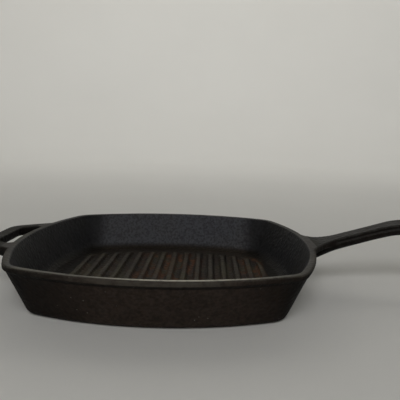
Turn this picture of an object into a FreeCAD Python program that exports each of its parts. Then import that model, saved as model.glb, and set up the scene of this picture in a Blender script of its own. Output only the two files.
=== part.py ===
"""Square cast iron grill pan: a drafted bowl with bowed sides and a ribbed floor, an
upswept handle with a hanging hole on +X and a small assist loop on -X.

Millimetres, +Z up. The origin is the centre of the flat underside, and -Y is the front.
The pan is one casting. Each node is one feature of it, and neighbours meet face to face.
"""
import FreeCAD
import Part
import os
from math import atan2, ceil, cos, hypot, radians, sin, sqrt, tan

# ---- driving dimensions ---------------------------------------------------------------
# Bowl: every plan outline has four wide side arcs and four tight corner arcs
RIM_HALF = 133.35            # 10.5 in across the rim band
RIM_BOW = 248.0              # plan radius of a side
RIM_CORNER = 24.0            # plan radius of a corner
BASE_HALF = 114.5            # where the sloping wall would meet the table
BASE_BOW = 243.0
BASE_CORNER = 16.0
PAN_HEIGHT = 41.2            # table to rim top
BAND_HEIGHT = 5.6            # thick band round the top of the wall
BAND_CHAMFER = 1.6           # sloped lower edge of the band, within its height
BAND_STEP = 2.15             # how far the band stands out from the wall
RIM_TOP_WIDTH = 5.6
WALL_THICKNESS = 4.2         # measured level, at the floor; it grows towards the rim
FLOOR_THICKNESS = 4.3
HEEL_RADIUS = 7.0            # outside, between wall and underside
FLOOR_FILLET = 12.0          # inside, between wall and floor
LIP_RADIUS = 1.6             # inner edge of the rim
PLATE_INSET = 10.0           # the floor plate ends this far inside the wall's foot
CORNER_SECTOR = 18.0         # degrees of the plan that each corner piece takes

# Grill ribs, which run front to back
RIB_COUNT = 15
RIB_PITCH = 12.7
RIB_COMB_CENTRE = 3.3        # the comb sits a little towards the long handle
RIB_HEIGHT = 4.3
RIB_TOP_WIDTH = 4.8
RIB_BASE_WIDTH = 7.2
RIB_CROWN = 0.5              # the middle of a rib's top stands this far above its edges
RIB_FIELD_FOOT = (101.0, 92.0, 42.0)     # half width, half depth and corner at the floor
RIB_FIELD_TOP = (94.5, 70.0, 34.0)       # the same at the rib tops

# Long handle
HANDLE_END = 279.0
HANDLE_SLOPE = 0.296
RISE_START = 138.2           # where the sloped stretch would leave the rim's height
RISE_END = 210.4             # where it would reach the level grip
BEND_IN = 4.5                # softness of the bend up, and of the bend back to level
BEND_OUT = 8.0
HANDLE_DEPTH = 12.0
GUSSET_START = 151.0         # towards the wall the underside drops faster from here
GUSSET_SLOPE = 0.31
GUSSET_BEND = 8.0
NECK_HALF = 8.0              # half the flat top face at the neck, and at the grip
GRIP_HALF = 14.0
WIDENING_START = 185.0       # the neck widens into the grip over this stretch
WIDENING_END = 245.0
EDGE_RADIUS = 1.5            # top edges of the handle
GROOVE_INSET = 1.0           # hollow line along each side, under the top edge
GROOVE_DEPTH = 3.0
BEAD_OUT = 0.5               # the bead below the hollow stands out past the edge
BEAD_DEPTH = 4.6
ARM_START = 118.0            # inside the wall, where the bowl cuts the arm off
STATION_STEP = 9.0           # between the handle's cross-sections
ROOT_END = 164.0
GRIP_START = 236.0
HOLE_RADIUS = 6.5
HOLE_FROM_END = 16.5

# Web that spreads the handle's root along the rim
WEB_HALF = 42.0
WEB_FILLET = 34.0            # plan radius of its hollow edges
WEB_RIM_X = 130.0            # the hollow edges turn parallel to the rim here, behind its face
WEB_THICKNESS = 5.6

# Assist loop
LOOP_OUTER_X = 160.2
LOOP_CORNER_Y = 34.5         # where the outer lines of bar and leg would cross
LOOP_LEG_ANGLE = radians(33.5)           # between a leg and the X axis
LOOP_WIDTH = 11.8
LOOP_DEPTH = 9.5
LOOP_OUTER_RADIUS = 20.0
LOOP_INNER_RADIUS = 8.0
LOOP_RIM_X = 131.0           # the hole's rim side, just inside the band's face
LOOP_RIM_RADIUS = 4.0
LOOP_UNDER_RADIUS = 4.0
LOOP_TOP_RADIUS = 1.2
LOOP_BAR_HALF = 23.0         # the bar is straight up to here

BAND_BOTTOM = PAN_HEIGHT - BAND_HEIGHT
OVERRUN = 20.0               # how far cutting tools run past what they cut
REACH = 400.0                # longer than the pan
UP = FreeCAD.Vector(0, 0, 1)


def vec(x, y, z=0.0):
    return FreeCAD.Vector(x, y, z)


def line(start, end):
    return Part.LineSegment(start, end).toShape()


def arc(start, middle, end):
    return Part.Arc(start, middle, end).toShape()


def prism(wire, height):
    return Part.Face(wire).extrude(UP * height)


def slab(x_low, x_high, y_low, y_high, z_low, z_high):
    corner = vec(x_low, y_low, z_low)
    return Part.makeBox(x_high - x_low, y_high - y_low, z_high - z_low, corner)


def ramp(distance, softness):
    """0 before the bend and equal to distance after it, with a soft turn between."""
    return (distance + hypot(distance, softness)) / 2


# ---- bowl -----------------------------------------------------------------------------
def bowed_outline(half_x, half_y, bow, corner, z):
    """A closed wire of four side arcs and the four corner arcs tangent to them."""
    side_x = half_x - bow
    side_y = half_y - bow
    reach = bow - corner
    apart = hypot(side_x, side_y)
    along = sqrt(reach ** 2 - (apart / 2) ** 2)
    centre_x = side_x / 2 - along * side_y / apart
    centre_y = side_y / 2 - along * side_x / apart
    grow = bow / reach
    ax, ay = side_x + (centre_x - side_x) * grow, centre_y * grow
    bx, by = centre_x * grow, side_y + (centre_y - side_y) * grow
    aim = (atan2(centre_y, centre_x - side_x) + atan2(centre_y - side_y, centre_x)) / 2
    tip_x = centre_x + corner * cos(aim)
    tip_y = centre_y + corner * sin(aim)
    ring = [(ax, -ay), (half_x, 0), (ax, ay), (tip_x, tip_y),
            (bx, by), (0, half_y), (-bx, by), (-tip_x, tip_y),
            (-ax, ay), (-half_x, 0), (-ax, -ay), (-tip_x, -tip_y),
            (-bx, -by), (0, -half_y), (bx, -by), (tip_x, -tip_y)]
    points = [vec(x, y, z) for x, y in ring + ring[:1]]
    arcs = [arc(*points[i:i + 3]) for i in range(0, len(ring), 2)]
    return Part.Wire(arcs)


def wall_outline(z, inset=0.0):
    """The wall's outside at height z, or a line level with it and inset from it."""
    share = z / BAND_BOTTOM

    def mix(base, rim):
        return base + (rim - BAND_STEP - base) * share - inset

    half = mix(BASE_HALF, RIM_HALF)
    return bowed_outline(half, half, mix(BASE_BOW, RIM_BOW), mix(BASE_CORNER, RIM_CORNER), z)


def rim_outline(z):
    return bowed_outline(RIM_HALF, RIM_HALF, RIM_BOW, RIM_CORNER, z)


def edges_at(shape, z):
    """The shape's edges that lie level at height z."""
    return [edge for edge in shape.Edges
            if abs(edge.BoundBox.ZMin - z) < 0.01 and abs(edge.BoundBox.ZMax - z) < 0.01]


def bowl_outside():
    """The bowl as if it were filled: sloping wall with a round heel, and the band."""
    wall = Part.makeLoft([wall_outline(0), wall_outline(BAND_BOTTOM)], True, True)
    wall = wall.makeFillet(HEEL_RADIUS, edges_at(wall, 0))
    band_foot = BAND_BOTTOM + BAND_CHAMFER
    chamfer = Part.makeLoft([wall_outline(BAND_BOTTOM), rim_outline(band_foot)], True, True)
    band = prism(rim_outline(band_foot), PAN_HEIGHT - band_foot)
    return wall.fuse([chamfer, band])


def bowl_space(outside):
    """The filled bowl and the air above its rim, which neither handle enters."""
    return outside.fuse(prism(rim_outline(PAN_HEIGHT), OVERRUN))


def bowl_cavity():
    """The space inside the bowl, with the fillet between its wall and floor."""
    lean = (RIM_HALF - BAND_STEP - BASE_HALF) / BAND_BOTTOM
    rim_inset = BASE_HALF + lean * PAN_HEIGHT - (RIM_HALF - RIM_TOP_WIDTH)
    inside = [wall_outline(FLOOR_THICKNESS, WALL_THICKNESS), wall_outline(PAN_HEIGHT, rim_inset)]
    cavity = Part.makeLoft(inside, True, True)
    return cavity.makeFillet(FLOOR_FILLET, edges_at(cavity, FLOOR_THICKNESS))


def floor_plate():
    outline = wall_outline(FLOOR_THICKNESS, WALL_THICKNESS + PLATE_INSET)
    outline.translate(UP * -FLOOR_THICKNESS)
    return prism(outline, FLOOR_THICKNESS)


def wall_ring(outside, cavity):
    """All of the wall below the band, round the floor plate."""
    below_band = slab(-REACH, REACH, -REACH, REACH, 0, BAND_BOTTOM)
    return outside.common(below_band).cut([cavity, floor_plate()])


def rim_ring(outside, cavity):
    above_wall = slab(-REACH, REACH, -REACH, REACH, BAND_BOTTOM, PAN_HEIGHT)
    ring = outside.common(above_wall).cut(cavity)
    inner_wall = cavity.common(above_wall)
    lip = [edge for edge in edges_at(ring, PAN_HEIGHT)
           if inner_wall.isInside(edge.valueAt(edge.FirstParameter), 0.01, True)]
    return ring.makeFillet(LIP_RADIUS, lip)


def sector(ring, middle, width):
    """The part of a ring within width degrees of plan, centred on the angle middle."""
    corners = [vec(0, 0)]
    for side in (-1, 1):
        angle = radians(middle + side * width / 2)
        corners.append(vec(REACH * cos(angle), REACH * sin(angle)))
    wedge = prism(Part.makePolygon(corners + corners[:1]), PAN_HEIGHT)
    return ring.common(wedge)


def ring_pieces(ring, name):
    """A ring as four sides and four corners, named by where they are."""
    sides = ("handle_side", "back", "assist_side", "front")
    corners = ("back_handle", "back_assist", "front_assist", "front_handle")
    pieces = {}
    for i in range(4):
        pieces[f"{name}_{sides[i]}"] = sector(ring, 90 * i, 90 - CORNER_SECTOR)
        pieces[f"{name}_corner_{corners[i]}"] = sector(ring, 90 * i + 45, CORNER_SECTOR)
    return pieces


# ---- grill ribs -----------------------------------------------------------------------
def rib_field():
    """A low block with sloping edges: the ribs run down to the floor where it ends."""
    rib_top = FLOOR_THICKNESS + RIB_HEIGHT
    outlines = []
    for z, (half_x, half_y, corner) in ((FLOOR_THICKNESS, RIB_FIELD_FOOT),
                                        (rib_top, RIB_FIELD_TOP)):
        outlines.append(bowed_outline(half_x, half_y, BASE_BOW, corner, z))
    return Part.makeLoft(outlines, True, True)


def grill_rib(x, field):
    """One rib: flanks that lean in and a slightly crowned top, cut by the field's edge."""
    foot = FLOOR_THICKNESS
    shoulder = foot + RIB_HEIGHT - RIB_CROWN
    y = -RIB_FIELD_FOOT[1]
    left_foot = vec(x - RIB_BASE_WIDTH / 2, y, foot)
    right_foot = vec(x + RIB_BASE_WIDTH / 2, y, foot)
    left_top = vec(x - RIB_TOP_WIDTH / 2, y, shoulder)
    right_top = vec(x + RIB_TOP_WIDTH / 2, y, shoulder)
    crown = vec(x, y, foot + RIB_HEIGHT)
    section = Part.Wire([line(left_foot, right_foot), line(right_foot, right_top),
                         arc(right_top, crown, left_top), line(left_top, left_foot)])
    bar = Part.Face(section).extrude(vec(0, 2 * RIB_FIELD_FOOT[1]))
    return bar.common(field)


def grill_ribs():
    field = rib_field()
    ribs = {}
    for i in range(RIB_COUNT):
        x = RIB_COMB_CENTRE + (i - (RIB_COUNT - 1) / 2) * RIB_PITCH
        ribs[f"grill_rib_{i + 1:02d}"] = grill_rib(x, field)
    return ribs


# ---- long handle ----------------------------------------------------------------------
def handle_top(x):
    rise = ramp(x - RISE_START, BEND_IN) - ramp(x - RISE_END, BEND_OUT)
    return PAN_HEIGHT + HANDLE_SLOPE * rise


def handle_depth(x):
    return HANDLE_DEPTH + GUSSET_SLOPE * ramp(GUSSET_START - x, GUSSET_BEND)


def handle_half(x):
    """Half the width of the flat top face."""
    share = (x - WIDENING_START) / (WIDENING_END - WIDENING_START)
    share = min(max(share, 0.0), 1.0)
    return NECK_HALF + (GRIP_HALF - NECK_HALF) * share ** 2 * (3 - 2 * share)


def stations(end):
    """Evenly spaced X positions from the arm's start to end or just past it."""
    count = ceil((end - ARM_START) / STATION_STEP)
    return [ARM_START + STATION_STEP * i for i in range(count + 1)]


def arm_section(x):
    """Flat top, rounded edges, a hollow line down each side and a round underside."""
    top = handle_top(x)
    half = handle_half(x)
    edge = half + EDGE_RADIUS
    soften = EDGE_RADIUS * (1 - sqrt(0.5))

    def at(y, below):
        return vec(x, y, top - below)

    def side(sign):
        round_edge = arc(at(sign * half, 0), at(sign * (edge - soften), soften),
                         at(sign * edge, EDGE_RADIUS))
        hollow = arc(at(sign * edge, EDGE_RADIUS), at(sign * (edge - GROOVE_INSET), GROOVE_DEPTH),
                     at(sign * (edge + BEAD_OUT), BEAD_DEPTH))
        return [round_edge, hollow]

    bead = edge + BEAD_OUT
    underside = arc(at(bead, BEAD_DEPTH), at(0, handle_depth(x)), at(-bead, BEAD_DEPTH))
    flat = line(at(-half, 0), at(half, 0))
    return Part.Wire([flat] + side(1) + [underside] + side(-1)[::-1])


def arm_outline():
    """Plan outline that rounds off the far end of the arm."""
    half = GRIP_HALF + EDGE_RADIUS + BEAD_OUT
    centre = HANDLE_END - half
    shank = slab(ARM_START, centre, -RIM_HALF, RIM_HALF, 0, REACH)
    return shank.fuse(Part.makeCylinder(half, REACH, vec(centre, 0)))


def arm():
    whole = Part.makeLoft([arm_section(x) for x in stations(HANDLE_END)], True, False)
    hole = Part.makeCylinder(HOLE_RADIUS, REACH, vec(HANDLE_END - HOLE_FROM_END, 0))
    return whole.common(arm_outline()).cut(hole)


def root_web():
    """A plate level with the rim top, which fans out from the neck to the rim."""
    neck_x = WEB_RIM_X + WEB_FILLET
    upper = [vec(x, 0, handle_top(x)) for x in stations(neck_x)]
    lower = [point - UP * WEB_THICKNESS for point in reversed(upper)]
    curves = []
    for points in (upper, lower):
        curve = Part.BSplineCurve()
        curve.interpolate(points)
        curves.append(curve.toShape())
    ends = [line(upper[-1], lower[0]), line(lower[-1], upper[0])]
    profile = Part.Face(Part.Wire([curves[0], ends[0], curves[1], ends[1]]))
    plate = profile.extrude(vec(0, 2 * WEB_HALF))
    plate.translate(vec(0, -WEB_HALF))
    for side in (-1, 1):
        scoop = Part.makeCylinder(WEB_FILLET, REACH, vec(neck_x, side * WEB_HALF))
        plate = plate.cut(scoop)
    return plate.common(slab(ARM_START, neck_x, -WEB_HALF, WEB_HALF, 0, REACH))


def handle_pieces(space):
    whole = arm().fuse(root_web()).cut(space)
    spans = {"handle_root": (ARM_START, ROOT_END), "handle_shank": (ROOT_END, GRIP_START),
             "handle_grip": (GRIP_START, HANDLE_END + OVERRUN)}
    pieces = {}
    for name, (low, high) in spans.items():
        pieces[name] = whole.common(slab(low, high, -REACH, REACH, 0, REACH))
    return pieces


# ---- assist loop ----------------------------------------------------------------------
def rounded_polygon(corners, z):
    """A closed wire through (x, y, radius) corners, each turned by a tangent arc."""
    starts, edges = [], []
    for i, (x, y, radius) in enumerate(corners):
        here = vec(x, y, z)
        before = vec(*corners[i - 1][:2], z) - here
        after = vec(*corners[(i + 1) % len(corners)][:2], z) - here
        before.normalize()
        after.normalize()
        half_angle = before.getAngle(after) / 2
        run = radius / tan(half_angle)
        towards = before + after
        towards.normalize()
        middle = here + towards * (radius / sin(half_angle) - radius)
        starts.append((here + before * run, middle, here + after * run))
    for i, (begin, middle, end) in enumerate(starts):
        edges.append(arc(begin, middle, end))
        edges.append(line(end, starts[(i + 1) % len(starts)][0]))
    return Part.Wire(edges)


def loop_outline(outer_x, corner_y, rim_x, bar_radius, rim_radius, z):
    """A trapezium, wide at the rim, with its two legs at LOOP_LEG_ANGLE."""
    rim_y = corner_y + (outer_x - rim_x) * tan(LOOP_LEG_ANGLE)
    return rounded_polygon([(-outer_x, corner_y, bar_radius), (-outer_x, -corner_y, bar_radius),
                            (-rim_x, -rim_y, rim_radius), (-rim_x, rim_y, rim_radius)], z)


def assist_pieces(space):
    under = PAN_HEIGHT - LOOP_DEPTH
    inner_x = LOOP_OUTER_X - LOOP_WIDTH
    inner_y = (LOOP_CORNER_Y + LOOP_WIDTH * tan(LOOP_LEG_ANGLE)
               - LOOP_WIDTH / cos(LOOP_LEG_ANGLE))
    plate = prism(loop_outline(LOOP_OUTER_X, LOOP_CORNER_Y, ARM_START,
                               LOOP_OUTER_RADIUS, LOOP_RIM_RADIUS, under), LOOP_DEPTH)
    hole = prism(loop_outline(inner_x, inner_y, LOOP_RIM_X,
                              LOOP_INNER_RADIUS, LOOP_RIM_RADIUS, under), LOOP_DEPTH)
    rim_y = inner_y + (inner_x - LOOP_RIM_X) * tan(LOOP_LEG_ANGLE)
    open_y = rim_y - LOOP_RIM_RADIUS / tan((radians(90) - LOOP_LEG_ANGLE) / 2)
    under_band = slab(-LOOP_RIM_X, -ARM_START, -open_y, open_y, under, PAN_HEIGHT)
    loop = plate.cut([hole, under_band])
    loop = loop.makeFillet(LOOP_UNDER_RADIUS, edges_at(loop, under))
    loop = loop.makeFillet(LOOP_TOP_RADIUS, edges_at(loop, PAN_HEIGHT))
    loop = loop.cut(space)
    spans = {"assist_leg_front": (-REACH, -LOOP_BAR_HALF),
             "assist_bar": (-LOOP_BAR_HALF, LOOP_BAR_HALF),
             "assist_leg_back": (LOOP_BAR_HALF, REACH)}
    pieces = {}
    for name, (low, high) in spans.items():
        pieces[name] = loop.common(slab(-REACH, 0, low, high, 0, REACH))
    return pieces


# ---- whole pan ------------------------------------------------------------------------
def pan_nodes():
    outside = bowl_outside()
    cavity = bowl_cavity()
    nodes = {"floor_plate": floor_plate()}
    nodes.update(ring_pieces(wall_ring(outside, cavity), "wall"))
    nodes.update(ring_pieces(rim_ring(outside, cavity), "rim"))
    nodes.update(grill_ribs())
    space = bowl_space(outside)
    nodes.update(handle_pieces(space))
    nodes.update(assist_pieces(space))
    return nodes


def main():
    os.makedirs("parts", exist_ok=True)
    volume = 0.0
    for name, shape in pan_nodes().items():
        assert shape.isValid(), name
        assert len(shape.Solids) == 1, (name, len(shape.Solids))
        shape.Solids[0].exportStep(f"parts/{name}.step")
        volume += shape.Volume
    print(f"volume {volume / 1000:.1f} cm3")


main()
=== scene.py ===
"""Looks of the square cast iron grill pan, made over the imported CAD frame.

The CAD solids are remeshed into one casting, which rounds and blends every edge as sand casting
does. The casting is then cut into named pieces, and each piece is closed at its cuts. All
patterns are procedural and follow the pan's own coordinates, so they run on across the cuts.
"""
from math import cos, pi, sin, sqrt

import bmesh
import bpy
from mathutils import Matrix, Vector, noise
from mathutils.geometry import delaunay_2d_cdt


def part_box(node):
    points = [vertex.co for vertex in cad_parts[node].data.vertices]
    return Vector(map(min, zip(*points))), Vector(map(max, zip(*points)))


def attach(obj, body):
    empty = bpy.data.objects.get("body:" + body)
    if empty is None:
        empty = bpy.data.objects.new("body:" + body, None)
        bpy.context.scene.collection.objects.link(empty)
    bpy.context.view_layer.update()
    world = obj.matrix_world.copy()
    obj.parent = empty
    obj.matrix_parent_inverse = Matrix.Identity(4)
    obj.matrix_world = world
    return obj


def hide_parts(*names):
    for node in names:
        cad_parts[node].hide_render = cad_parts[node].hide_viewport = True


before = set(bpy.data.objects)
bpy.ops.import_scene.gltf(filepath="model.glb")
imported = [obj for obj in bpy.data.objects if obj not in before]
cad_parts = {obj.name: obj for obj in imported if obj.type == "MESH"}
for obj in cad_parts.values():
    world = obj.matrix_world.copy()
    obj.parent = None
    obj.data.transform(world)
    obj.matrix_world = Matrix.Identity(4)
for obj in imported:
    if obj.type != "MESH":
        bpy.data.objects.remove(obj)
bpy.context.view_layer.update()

MM = 0.001
GRID = 0.90 * MM             # cell of the remeshed casting
SOFTEN = 2                   # smoothing passes, which set how round the edges are
ON_CUT = 0.001 * MM          # how near a cut a point counts as lying on it
WELD = 0.002 * MM            # points along a cut that are closer than this become one
BLOTCH = 0.6                 # noise scale times the size of the blotches it gives

# Heights and lines of the pan
RIM_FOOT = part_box("rim_front")[0].z
RIM_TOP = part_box("rim_front")[1].z
RIM_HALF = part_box("rim_back")[1].y
RIM_BOW = 248.0 * MM         # plan radius of the rim's bowed sides
RIB_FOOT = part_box("grill_rib_08")[0].z
RIB_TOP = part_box("grill_rib_08")[1].z

# Where the casting is cut: heights, or distances from the middle
FLOOR_INSET = 5.0 * MM       # the floor is cut this far inside the CAD's floor plate
FLOOR_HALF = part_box("floor_plate")[1].x
FLOOR_DIAGONAL = max(vert.co.x + vert.co.y
                     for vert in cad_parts["floor_plate"].data.vertices) / sqrt(2)
WALL_FROM = FLOOR_HALF - FLOOR_INSET
CORNER_FROM = FLOOR_DIAGONAL - FLOOR_INSET
RIB_CUT = RIB_FOOT + 1.0 * MM
HANDLE_FROM = RIM_HALF + 1.6 * MM        # handle and loop are cut off just outside the rim
SHANK_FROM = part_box("handle_shank")[0].x
GRIP_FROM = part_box("handle_grip")[0].x
BAR_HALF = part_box("assist_bar")[1].y


# ---- casting --------------------------------------------------------------------------
def new_object(name, data):
    thing = bpy.data.objects.new(name, data)
    bpy.context.scene.collection.objects.link(thing)
    return thing


def remeshed_casting():
    """One closed mesh round all the CAD solids, softened."""
    joined = bmesh.new()
    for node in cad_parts.values():
        joined.from_mesh(node.data)
    mesh = bpy.data.meshes.new("joined")
    joined.to_mesh(mesh)
    joined.free()
    rough = new_object("joined", mesh)
    grid = rough.modifiers.new("grid", "REMESH")
    grid.mode = "VOXEL"
    grid.voxel_size = GRID
    soften = rough.modifiers.new("soften", "SMOOTH")
    soften.factor = 0.5
    soften.iterations = SOFTEN
    casting = bpy.data.meshes.new_from_object(
        rough.evaluated_get(bpy.context.evaluated_depsgraph_get()))
    bpy.data.objects.remove(rough)
    return casting


def setback(point):
    """How far the mould's unevenness sets the surface back at a point."""
    broad_waves, fine_waves = 22.0, 75.0     # per metre
    elsewhere = Vector((5.0, 2.0, 9.0))
    broad = noise.noise(point * broad_waves)
    fine = noise.noise(point * fine_waves + elsewhere)
    return (0.13 + 0.09 * broad + 0.05 * fine) * MM


def sharpness(vert):
    """How far the surface bends at a point: over 0 on a ridge, under 0 in a hollow."""
    drops = [vert.normal.dot((vert.co - edge.other_vert(vert).co).normalized())
             for edge in vert.link_edges]
    return sum(drops) / len(drops)


def uneven(casting):
    """The casting as a bmesh, set back unevenly, with its normals and ridges on its points."""
    bm = bmesh.new()
    bm.from_mesh(casting)
    ridge = bm.verts.layers.float.new("ridge")
    for vert in bm.verts:
        vert[ridge] = sharpness(vert)
    for vert in bm.verts:
        vert.co = vert.co - vert.normal * setback(vert.co)
    bm.normal_update()
    kept = bm.verts.layers.float_vector.new("cast_normal")
    for vert in bm.verts:
        vert[kept] = vert.normal
    bm.faces.layers.int.new("cap")
    return bm


def inside(triangles, outlines):
    """The triangles of a convex area that an odd number of outlines surround."""
    owners = {}
    for i, triangle in enumerate(triangles):
        for j in range(3):
            owners.setdefault(frozenset((triangle[j], triangle[j - 1])), []).append(i)
    within = {}
    for line, touching in owners.items():
        if len(touching) == 1:
            within.setdefault(touching[0], line in outlines)
    reached = list(within)
    for i in reached:
        for j in range(3):
            line = frozenset((triangles[i][j], triangles[i][j - 1]))
            for other in owners[line]:
                if other not in within:
                    within[other] = within[i] != (line in outlines)
                    reached.append(other)
    return [triangle for i, triangle in enumerate(triangles) if within[i]]


def cap(bm, normal, distance):
    """Closes a solid that was cut along a plane."""
    brink = [vert for vert in bm.verts if vert.is_boundary]
    for vert in brink:
        vert.co = vert.co - normal * (vert.co.dot(normal) - distance)
    bmesh.ops.remove_doubles(bm, verts=brink, dist=WELD)
    edges = [edge for edge in bm.edges if edge.is_boundary]
    verts = list(dict.fromkeys(vert for edge in edges for vert in edge.verts))
    number = {vert: i for i, vert in enumerate(verts)}
    along = Vector((0, 1, 0)) if abs(normal.z) > 0.5 else Vector((0, 0, 1))
    across = along.cross(normal)
    flat = [Vector((vert.co.dot(across), vert.co.dot(along))) for vert in verts]
    lines = [(number[edge.verts[0]], number[edge.verts[1]]) for edge in edges]
    places, links, triangles, sources, lines_behind, _ = delaunay_2d_cdt(
        flat, lines, [], 0, 0.1 * ON_CUT)
    outlines = {frozenset(link) for link, behind in zip(links, lines_behind) if behind}
    corners = [verts[source[0]] if source
               else bm.verts.new(across * place.x + along * place.y + normal * distance)
               for place, source in zip(places, sources)]
    tag = bm.faces.layers.int["cap"]
    for triangle in inside(triangles, outlines):
        ring = [corners[i] for i in triangle]
        if bm.faces.get(ring) is None:
            face = bm.faces.new(ring)
            face.normal_update()
            face[tag] = 1


def slices(solid, normal, *distances):
    """The solid cut along planes across normal, from the lowest slice to the highest."""
    parts = []
    for distance in distances:
        rest = solid.copy()
        for part, sign in ((solid, 1), (rest, -1)):
            bmesh.ops.bisect_plane(part, geom=part.verts[:] + part.edges[:] + part.faces[:],
                                   dist=ON_CUT, plane_co=normal * distance, plane_no=normal,
                                   clear_outer=sign > 0, clear_inner=sign < 0)
            if part.verts:
                cap(part, normal * sign, sign * distance)
        parts.append(solid)
        solid = rest
    return parts + [solid]


def islands(bm):
    """Lists of faces that hang together, in order along X."""
    seen, groups = set(), []
    for start in bm.faces:
        if start in seen:
            continue
        seen.add(start)
        group = [start]
        for face in group:
            for edge in face.edges:
                for other in edge.link_faces:
                    if other not in seen:
                        seen.add(other)
                        group.append(other)
        groups.append(group)
    return sorted(groups, key=lambda group: group[0].calc_center_median().x)


def piece_mesh(bm, faces, name):
    """A mesh of these faces, shaded as the uncut casting was, and flat on its caps."""
    kept = bm.verts.layers.float_vector["cast_normal"]
    ridge = bm.verts.layers.float["ridge"]
    tag = bm.faces.layers.int["cap"]
    places, normals, ridges, rings, corner_normals = [], [], [], [], []
    number = {}
    for face in faces:
        for vert in face.verts:
            if vert not in number:
                number[vert] = len(places)
                places.append(vert.co[:])
                normals.append(vert[kept].normalized()[:])
                ridges.append(vert[ridge])
        ring = [number[vert] for vert in face.verts]
        rings.append(ring)
        flat = face.normal[:]
        corner_normals += [flat if face[tag] else normals[i] for i in ring]
    mesh = bpy.data.meshes.new(name)
    mesh.from_pydata(places, [], rings)
    mesh.normals_split_custom_set(corner_normals)
    mesh.attributes.new("ridge", "FLOAT", "POINT").data.foreach_set("value", ridges)
    return mesh


def ring_pieces(ring):
    """Eight side and corner pieces of the bowl's wall or rim, and what lies inside them."""
    rising, falling = Vector((1, 1, 0)).normalized(), Vector((1, -1, 0)).normalized()
    x, y = Vector((1, 0, 0)), Vector((0, 1, 0))
    pieces = {}
    pieces["corner_front_assist"], ring, pieces["corner_back_handle"] = slices(
        ring, rising, -CORNER_FROM, CORNER_FROM)
    pieces["corner_back_assist"], ring, pieces["corner_front_handle"] = slices(
        ring, falling, -CORNER_FROM, CORNER_FROM)
    pieces["assist_side"], ring, pieces["handle_side"] = slices(ring, x, -WALL_FROM, WALL_FROM)
    pieces["front"], middle, pieces["back"] = slices(ring, y, -WALL_FROM, WALL_FROM)
    return pieces, middle


def casting_pieces():
    """{CAD node: mesh} of the casting, cut up where the CAD's features meet."""
    x, y, z = Vector((1, 0, 0)), Vector((0, 1, 0)), Vector((0, 0, 1))
    solids = {}
    loop, bowl, handle = slices(uneven(remeshed_casting()), x, -HANDLE_FROM, HANDLE_FROM)
    for name, part in zip(("root", "shank", "grip"), slices(handle, x, SHANK_FROM, GRIP_FROM)):
        solids["handle_" + name] = part
    for name, part in zip(("leg_front", "bar", "leg_back"), slices(loop, y, -BAR_HALF, BAR_HALF)):
        solids["assist_" + name] = part
    wall, rim = slices(bowl, z, RIM_FOOT)
    walls, middle = ring_pieces(wall)
    solids.update({"wall_" + name: part for name, part in walls.items()})
    solids.update({"rim_" + name: part for name, part in ring_pieces(rim)[0].items()})
    solids["floor_plate"], ribs = slices(middle, z, RIB_CUT)
    meshes = {name: piece_mesh(part, part.faces, name) for name, part in solids.items()}
    for i, faces in enumerate(islands(ribs)):
        name = f"grill_rib_{i + 1:02d}"
        meshes[name] = piece_mesh(ribs, faces, name)
    return meshes


# ---- materials ------------------------------------------------------------------------
class Graph:
    """A material's nodes. Each method adds nodes and returns the last one's output socket."""

    def __init__(self, name):
        self.material = bpy.data.materials.new(name)
        self.material.use_nodes = True
        self.tree = self.material.node_tree
        self.tree.nodes.clear()
        self.place = self.add("TexCoord", "Object")

    def add(self, kind, output, inputs=None, **settings):
        """A node of a kind: its output, or the node itself when output is None."""
        node = self.tree.nodes.new("ShaderNode" + kind)
        for name, value in settings.items():
            setattr(node, name, value)
        for key, value in (inputs or {}).items():
            if isinstance(value, bpy.types.NodeSocket):
                self.tree.links.new(value, node.inputs[key])
            else:
                node.inputs[key].default_value = value
        return node if output is None else node.outputs[output]

    def math(self, operation, first, *others):
        """The operation run along all the values."""
        for other in others:
            first = self.add("Math", 0, {0: first, 1: other}, operation=operation)
        return first

    def times(self, *values):
        return self.math("MULTIPLY", *values)

    def plus(self, *values):
        return self.math("ADD", *values)

    def most(self, *values):
        return self.math("MAXIMUM", *values)

    def off(self, value, line=0.0):
        """How far a coordinate is from a line, to either side."""
        return self.add("Math", 0, {0: self.plus(value, -line)}, operation="ABSOLUTE")

    def band(self, value, low, high, start=0.0, end=1.0):
        """start at low and before it, and end at high and past it, with a soft step between."""
        return self.add("MapRange", 0, {0: value, 1: low, 2: high, 3: start, 4: end},
                        interpolation_type="SMOOTHSTEP")

    def shifted(self, shift, stretch=(1.0, 1.0, 1.0)):
        """Coordinates moved by shift metres along each axis, so that patterns differ."""
        return self.add("Mapping", 0, {"Vector": self.place, "Location": (shift, shift, shift),
                                       "Scale": stretch})

    def cloud(self, size, detail=2.0, rough=0.5, shift=0.0, stretch=(1.0, 1.0, 1.0)):
        """Soft noise from 0 to 1 whose blotches are about size across."""
        return self.add("TexNoise", 0, {"Vector": self.shifted(shift, stretch),
                                        "Scale": BLOTCH / size, "Detail": detail,
                                        "Roughness": rough})

    def cells(self, size, shift=0.0):
        """Distance from the nearest of scattered points, from 0 to about 1."""
        return self.add("TexVoronoi", "Distance", {"Vector": self.shifted(shift),
                                                   "Scale": 1.0 / size})

    def blend(self, share, a, b):
        """Colour a where share is 0 and b where it is 1."""
        return self.add("Mix", 2, {0: share, 6: a, 7: b}, data_type="RGBA")

    def finished(self, inputs):
        """The material, with a Principled shader that has these inputs."""
        skin = self.add("BsdfPrincipled", 0, inputs)
        self.add("OutputMaterial", None, {"Surface": skin})
        return self.material


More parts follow.
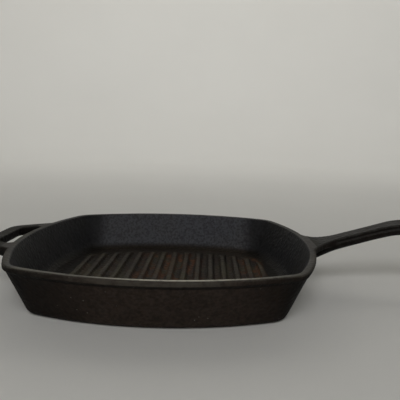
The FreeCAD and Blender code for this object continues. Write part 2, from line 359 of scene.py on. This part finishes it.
class Iron(Graph):
    """The nodes of an iron material, with the places and patterns that its parts share.

    x, y and z are the pan's own coordinates in metres. up is how far a face looks upward, and
    outward how far it looks away from the pan's middle, times its distance from there.
    """

    def __init__(self, name):
        super().__init__(name)
        self.x, self.y, self.z = self.add("SeparateXYZ", None, {0: self.place}).outputs
        surface = self.add("NewGeometry", None)
        facing = self.add("SeparateXYZ", None, {0: surface.outputs["Normal"]})
        self.up = facing.outputs["Z"]
        self.outward = self.plus(self.times(self.x, facing.outputs["X"]),
                                 self.times(self.y, facing.outputs["Y"]))
        self.ridge = self.add("Attribute", "Fac", attribute_name="ridge")

        # Places, from 0 to 1. sides are the inner side walls and the corners by them, which are
        # painted in shade and get a flatter grain, rim_line is the crease under the rim's band,
        # where a painted shadow line lies, and rib_level is up to the rib tops.
        self.outside = self.most(self.band(self.outward, 0.004, 0.014),
                                 self.band(self.up, -0.2, -0.5))
        self.inside = self.band(self.outside, 1.0, 0.0)
        self.sides = self.times(self.band(self.off(self.x), 75 * MM, 92 * MM), self.inside,
                                self.band(self.z, RIM_TOP, RIM_TOP - 1 * MM))
        self.rim_top = self.band(self.z, RIM_TOP - 2.0 * MM, RIM_TOP - 0.6 * MM)
        self.rim_line = self.times(
            self.band(self.z, RIM_FOOT - 1.5 * MM, RIM_FOOT - 0.2 * MM),
            self.band(self.z, RIM_FOOT + 2.0 * MM, RIM_FOOT + 1.4 * MM), self.outside)
        self.rib_level = self.band(self.z, RIB_TOP + 3 * MM, RIB_TOP + 1 * MM)

        # Patterns, from the broadest to the finest
        self.drift = self.cloud(38 * MM, 4.0, 0.55, 7.0)
        self.toward = self.band(self.drift, 0.35, 0.65)
        self.mottle = self.cloud(3.5 * MM, 3.0, 0.6, 11.0)
        self.speckle = self.cloud(1.5 * MM, 2.0, 0.5, 21.0)


def shade(red, green, blue):
    return (red, green, blue, 1.0)


SLATE = shade(0.0640, 0.0650, 0.0730)        # inside walls
ASH = shade(0.0670, 0.0655, 0.0685)
LOAM = shade(0.0220, 0.0170, 0.0130)         # floor, and low on the inside walls
CLAY = shade(0.0350, 0.0275, 0.0205)
# brown-black seasoning, tinted warm as painted bounce light from wood
UMBER = shade(0.0085, 0.0060, 0.0048)        # outside and handles
BARK = shade(0.0120, 0.0080, 0.0056)
PITCH = shade(0.004, 0.004, 0.004)
# painted shade, for hollows, the pan's ends, the inner side walls and under the rim's band
PAINTED_SHADE_TONE = shade(0.005, 0.0045, 0.004)
# painted warm bounce light on the outer front and back
WARM_BOUNCE_TONE = shade(0.060, 0.043, 0.033)
CHIP = shade(0.23, 0.22, 0.20)
# painted highlight along the front rim's top, in the colour of bare iron
LIP_HIGHLIGHT_TONE = shade(0.50, 0.475, 0.39)
OLIVE = shade(0.060, 0.055, 0.022)
DARK_RUST = shade(0.060, 0.030, 0.019)
RED_RUST = shade(0.140, 0.062, 0.032)


def sand_grain(g, worn_and_highlit):
    """Height in metres of the sand mould's grain.

    It is flatter outside, on the inner side walls, and on rubbed iron and painted highlights.
    """
    pebbles = g.band(g.cells(4.0 * MM), 0.05, 0.70, 1.0, 0.0)
    fine = g.cloud(1.2 * MM, 3.0, 0.6)
    lumps = g.cloud(6.5 * MM, 2.0, 0.5, 3.0)
    height = g.plus(g.times(pebbles, 0.38 * MM), g.times(fine, 0.34 * MM),
                    g.times(lumps, 0.60 * MM))
    return g.times(height, g.band(worn_and_highlit, 0.0, 1.0, 1.0, 0.55),
                   g.band(g.most(g.outside, g.sides), 0.0, 1.0, 1.0, 0.7))


def wear_and_highlights(g, rim_share, polish_and_top_light):
    """How far the rim's top, rib tops, edges and upper faces are rubbed lighter, from 0 to 1.

    On convex edges this is partly a painted highlight. The hand-polished look of the handles goes
    on upper faces only, which paints them lighter than the undersides, as light would.
    """
    patch = g.cloud(17 * MM, 4.0, 0.6, 2.0)
    level = g.band(g.up, 0.80, 0.97)
    rib_top = g.times(g.band(g.z, RIB_TOP - 1.3 * MM, RIB_TOP - 0.5 * MM), g.rib_level)
    rubbed = g.times(g.most(g.times(g.rim_top, rim_share), g.times(rib_top, 0.75)), level)
    # Convex edges: rubbed iron and a painted highlight.
    edges = g.times(g.band(g.ridge, 0.05, 0.20), g.band(g.mottle, 0.35, 0.6, 0.35, 1.0))
    # Upper faces only take the handles' polished look: painted light on top, darker undersides.
    return g.most(g.times(rubbed, g.band(patch, 0.30, 0.62, 0.35, 1.0)), g.times(edges, 0.8),
                  g.times(g.band(g.up, -0.1, 0.7), polish_and_top_light))


def front_depth(g):
    """Distance in from the outer side of the front rim, which is bowed."""
    return g.plus(g.y, RIM_HALF, g.times(g.x, g.x, -0.5 / RIM_BOW))


def scuffs_and_highlight(g, depth):
    """Where knocks have greyed the front rim, with a painted highlight, most of all in its middle.
    """
    front = g.band(depth, 6.4 * MM, 5.4 * MM)
    along = g.times(g.band(g.x, 66 * MM, 34 * MM), g.band(g.x, -80 * MM, 0.0, 0.10, 1.0))
    return g.times(front, along, g.band(g.mottle, 0.30, 0.60, 0.5, 1.0), 0.90)


def lip_highlight(g, depth):
    """A painted highlight along the front rim's top, in the colour of bare iron."""
    lip = g.times(g.band(depth, 1.0 * MM, 2.6 * MM), g.band(g.y, -90 * MM, -100 * MM),
                  g.band(g.off(g.x), 112 * MM, 90 * MM))
    middle = g.band(g.off(g.x, 18 * MM), 70 * MM, 14 * MM, 0.22, 1.0)
    return g.times(lip, g.rim_top, middle, g.band(g.speckle, 0.30, 0.50, 0.5, 1.0))


def seasoning(g, tones):
    """Colour of the baked-on oil: the slot's tones, and brown low inside."""
    inner = g.blend(g.toward, tones[0], tones[1])
    outer = g.blend(g.toward, tones[2], tones[3])
    cooked = g.times(g.band(g.z, 11 * MM, 5 * MM), g.inside)
    return g.blend(cooked, g.blend(g.outside, inner, outer), g.blend(g.toward, LOAM, CLAY))


def warm_bounce_light(g, colour):
    """The colour with painted warm bounce light, lighter in soft blotches on the middle of the
    outer front and back.
    """
    where = g.times(g.outside, g.band(g.off(g.x, 10 * MM), 95 * MM, 35 * MM),
                    g.band(g.off(g.y), 85 * MM, 100 * MM))
    return g.blend(g.times(where, g.band(g.mottle, 0.30, 0.60, 0.36, 0.56)), colour, WARM_BOUNCE_TONE)


def mottled(g, colour, worn_and_highlit_tone):
    """The colour with greyer blotches and dark pits."""
    blotches = g.times(g.band(g.mottle, 0.42, 0.72), g.band(g.outside, 0.0, 1.0, 0.12, 0.15))
    pits = g.band(g.speckle, 0.62, 0.34, 0.0, 0.40)
    return g.blend(pits, g.blend(blotches, colour, worn_and_highlit_tone), PITCH)


def painted_shade_mask(g):
    """Painted shade: darker in hollows, at the left and right ends below the rim's top, in a
    painted shadow line under the rim's band, and on the inner side walls.
    """
    hollows = g.band(g.ridge, -0.03, -0.11)
    ends = g.times(g.band(g.off(g.x), 88 * MM, 99 * MM),
                   g.band(g.z, RIM_TOP - 1 * MM, RIM_FOOT + 1 * MM))
    return g.most(g.times(ends, 0.65), g.times(hollows, 0.45), g.times(g.sides, 0.75),
                  g.times(g.rim_line, 0.8))


def chips(g):
    """Small pale flecks, in patches and low on the outside."""
    flecks = g.band(g.cells(7 * MM, 4.0), 0.080, 0.045)
    low = g.times(g.outside, g.band(g.z, 18 * MM, 9 * MM))
    return g.times(flecks, g.most(g.band(g.drift, 0.50, 0.62), low), 0.55)


def floor_stains(g, rust):
    """How far olive residue and rust each cover the ribbed floor, from 0 to 1.

    The rust lies mostly in the grooves, in the middle and near the handle.
    """
    ribbed = g.times(g.rib_level, g.band(g.off(g.y), 86 * MM, 72 * MM),
                     g.band(g.off(g.x, 3 * MM), 98 * MM, 88 * MM), g.band(g.z, 2 * MM, 3 * MM))
    residue = g.band(g.cloud(9 * MM, 4.0, 0.6, 9.0, (1.0, 0.5, 1.0)), 0.46, 0.62)
    grooves = g.times(g.band(g.z, RIB_TOP - 0.5 * MM, RIB_FOOT + 1.5 * MM), g.rib_level)
    middle = g.band(g.off(g.x, -1 * MM), 46 * MM, 14 * MM)
    handle_end = g.band(g.off(g.x, 85 * MM), 24 * MM, 6 * MM)
    stretch = g.band(g.most(middle, handle_end), 0.0, 1.0, 0.18, 1.0)
    bloom = g.band(g.cloud(7 * MM, 5.0, 0.65, 5.0, (1.0, 0.45, 1.0)), 0.44, 0.63)
    film = g.times(bloom, stretch, g.band(grooves, 0.0, 1.0, 0.28, 1.0), ribbed, rust)
    return g.times(residue, ribbed, 0.30), film


def iron(name, tones, worn_and_highlit_tone, gloss, rust=0.0, polish_and_top_light=0.0, scuffed_and_highlit=False):
    """Seasoned cast iron.

    tones are the inside's two seasoning colours and then the outside's two. The next colour is
    the greyer tone of rubbed edges and faces and of the painted highlights, gloss is the specular
    level, rust is how much shows in the grooves of the ribbed floor, the polish amount is how far
    hands have rubbed the upper side, painted lighter than the underside, and the front-rim flag
    is whether the front rim is knocked grey, with painted highlights on its middle and top.
    """
    g = Iron(name)
    worn_and_highlit = wear_and_highlights(g, 1.0 if scuffed_and_highlit else 0.3, polish_and_top_light)
    if scuffed_and_highlit:
        depth = front_depth(g)
        worn_and_highlit = g.most(worn_and_highlit, scuffs_and_highlight(g, depth))
    # No rubbing in the crease under the rim's band, so its painted shadow line stays dark.
    worn_and_highlit = g.times(worn_and_highlit, g.band(g.rim_line, 0.0, 1.0, 1.0, 0.1))

    # Grain blotches and pits, over painted warm bounce light on the outer front and back.
    colour = mottled(g, warm_bounce_light(g, seasoning(g, tones)), worn_and_highlit_tone)
    # Painted shade in hollows, at the ends, on the inner side walls and under the rim's band.
    colour = g.blend(painted_shade_mask(g), colour, PAINTED_SHADE_TONE)
    # Rubbed iron, with painted highlights on edges and the front rim, and upper faces painted
    # lighter.
    colour = g.blend(g.times(worn_and_highlit, 0.85), colour, worn_and_highlit_tone)
    if scuffed_and_highlit:
        # Painted highlight along the front rim's top.
        colour = g.blend(lip_highlight(g, depth), colour, LIP_HIGHLIGHT_TONE)
    colour = g.blend(chips(g), colour, CHIP)

    rough = g.plus(g.band(g.drift, 0.3, 0.7, 0.46, 0.56), g.times(g.mottle, 0.10),
                   g.band(g.outward, -0.040, -0.010, 0.0, 0.14))
    if rust:
        residue, film = floor_stains(g, rust)
        patches = g.band(g.cloud(2.5 * MM, 3.0, 0.6, 1.0), 0.35, 0.65)
        colour = g.blend(residue, colour, OLIVE)
        colour = g.blend(film, colour, g.blend(patches, DARK_RUST, RED_RUST))
        rough = g.plus(rough, g.times(film, 0.25))
    rough = g.plus(rough, g.times(worn_and_highlit, -0.06))

    bump = g.add("Bump", 0, {"Strength": 1.0, "Distance": 1.0, "Height": sand_grain(g, worn_and_highlit)})
    return g.finished({"Base Color": colour, "Roughness": rough, "Normal": bump,
                       "Specular IOR Level": gloss})


def iron_materials():
    """{record slot: material}"""
    bowl = (SLATE, ASH, UMBER, BARK)
    floor = (LOAM, CLAY, UMBER, BARK)
    grip = (UMBER, BARK, UMBER, BARK)
    return {
        "wall": iron("seasoned_wall", bowl, shade(0.036, 0.035, 0.034), 0.09),
        "rim": iron("worn_rim", bowl, shade(0.064, 0.058, 0.048), 0.09, scuffed_and_highlit=True),
        "cooking_surface": iron("ribbed_floor", floor, shade(0.049, 0.042, 0.032), 0.12, rust=0.85),
        "handle": iron("rubbed_handle", grip, shade(0.054, 0.052, 0.047), 0.07, polish_and_top_light=0.40),
        "assist_loop": iron("rubbed_loop", grip, shade(0.052, 0.050, 0.044), 0.08, polish_and_top_light=0.50),
    }


def slot_of(name):
    """The record's material slot for a CAD node."""
    slots = {"floor": "cooking_surface", "grill": "cooking_surface", "wall": "wall", "rim": "rim",
             "handle": "handle", "assist": "assist_loop"}
    return slots[name.partition("_")[0]]


# ---- studio ---------------------------------------------------------------------------
def look_from(place, target):
    """A matrix at place whose -Z points at target."""
    turn = (target - place).to_track_quat("-Z", "Y")
    return Matrix.Translation(place) @ turn.to_matrix().to_4x4()


def soft_light(name, place, target, width, height, power, tint):
    """An area light of a size in metres and a power in watts, aimed at target."""
    light = bpy.data.lights.new(name, "AREA")
    light.shape = "RECTANGLE"
    light.size, light.size_y = width, height
    light.energy = power
    light.color = tint
    new_object(name, light).matrix_world = look_from(Vector(place), Vector(target))


def sweep_mesh():
    """A round floor that bends up into a wall all round."""
    flat, bend, top = 1.6, 0.9, 4.0          # radius of the flat part, of the bend, wall height
    steps, turns = 24, 72                    # divisions of the bend, and round the floor
    slopes = [i / steps * pi / 2 for i in range(steps + 1)]
    profile = [(flat + bend * sin(slope), bend * (1 - cos(slope))) for slope in slopes]
    profile.append((flat + bend, top))
    angles = [turn / turns * 2 * pi for turn in range(turns)]
    points = [(0.0, 0.0, 0.0)]
    points += [(radius * cos(angle), radius * sin(angle), height)
               for radius, height in profile for angle in angles]
    faces = [(0, 1 + turn, 1 + (turn + 1) % turns) for turn in range(turns)]
    for ring in range(len(profile) - 1):
        low, high = 1 + ring * turns, 1 + (ring + 1) * turns
        for turn in range(turns):
            after = (turn + 1) % turns
            faces.append((low + turn, high + turn, high + after, low + after))
    mesh = bpy.data.meshes.new("floor_sweep")
    mesh.from_pydata(points, [], faces)
    mesh.shade_smooth()
    return mesh


def pale_floor():
    """The floor sweep, with one plain matt material."""
    g = Graph("pale_floor")
    paint = g.blend(g.cloud(300 * MM, 3.0), shade(0.71, 0.70, 0.67), shade(0.76, 0.75, 0.72))
    mesh = sweep_mesh()
    mesh.materials.append(g.finished({"Base Color": paint, "Roughness": 0.85}))
    new_object("floor_sweep", mesh)


def studio_lights():
    """A wide soft window high in front, and a wash on the backdrop; the sides stay dim."""
    world = bpy.data.worlds.new("studio")
    world.use_nodes = True
    background = world.node_tree.nodes["Background"]
    background.inputs["Color"].default_value = shade(0.90, 0.95, 1.0)
    background.inputs["Strength"].default_value = 0.025
    bpy.context.scene.world = world
    soft_light("window", (0.0, -1.9, 1.7), (0.0, 0.1, 0.0), 1.4, 1.0, 19.5, (0.97, 0.98, 1.0))
    soft_light("backdrop_wash", (0.0, 0.9, 2.4), (0.0, 2.5, 1.9), 2.6, 0.5, 34.0, (1.0, 1.0, 0.98))


def photo_camera():
    """The photograph's viewpoint: close, a little above the rim, looking slightly down."""
    eye = Vector((0.0372, -0.4311, 0.1376))
    yaw, pitch, roll = -0.017, 0.139, 0.025      # radians; pitch is downward
    ahead = Vector((sin(yaw) * cos(pitch), cos(yaw) * cos(pitch), -sin(pitch)))
    level = Vector((cos(yaw), -sin(yaw), 0))
    above = level.cross(ahead)
    right = level * cos(roll) + above * sin(roll)
    upward = above * cos(roll) - level * sin(roll)
    camera = new_object("camera", bpy.data.cameras.new("camera"))
    turn = Matrix((right, upward, -ahead)).transposed().to_4x4()
    camera.matrix_world = Matrix.Translation(eye) @ turn
    camera.data.sensor_width = 36.0              # millimetres, as the lens
    camera.data.lens = 42.43
    camera.data.clip_start = 10 * MM
    bpy.context.scene.camera = camera


# ---- scene ----------------------------------------------------------------------------
bpy.context.scene.view_settings.view_transform = "Standard"
photo_camera()
materials = iron_materials()
for name, mesh in casting_pieces().items():
    piece = new_object("cast_" + name, mesh)
    mesh.materials.append(materials[slot_of(name)])
    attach(piece, "root")
    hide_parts(name)
pale_floor()
studio_lights()
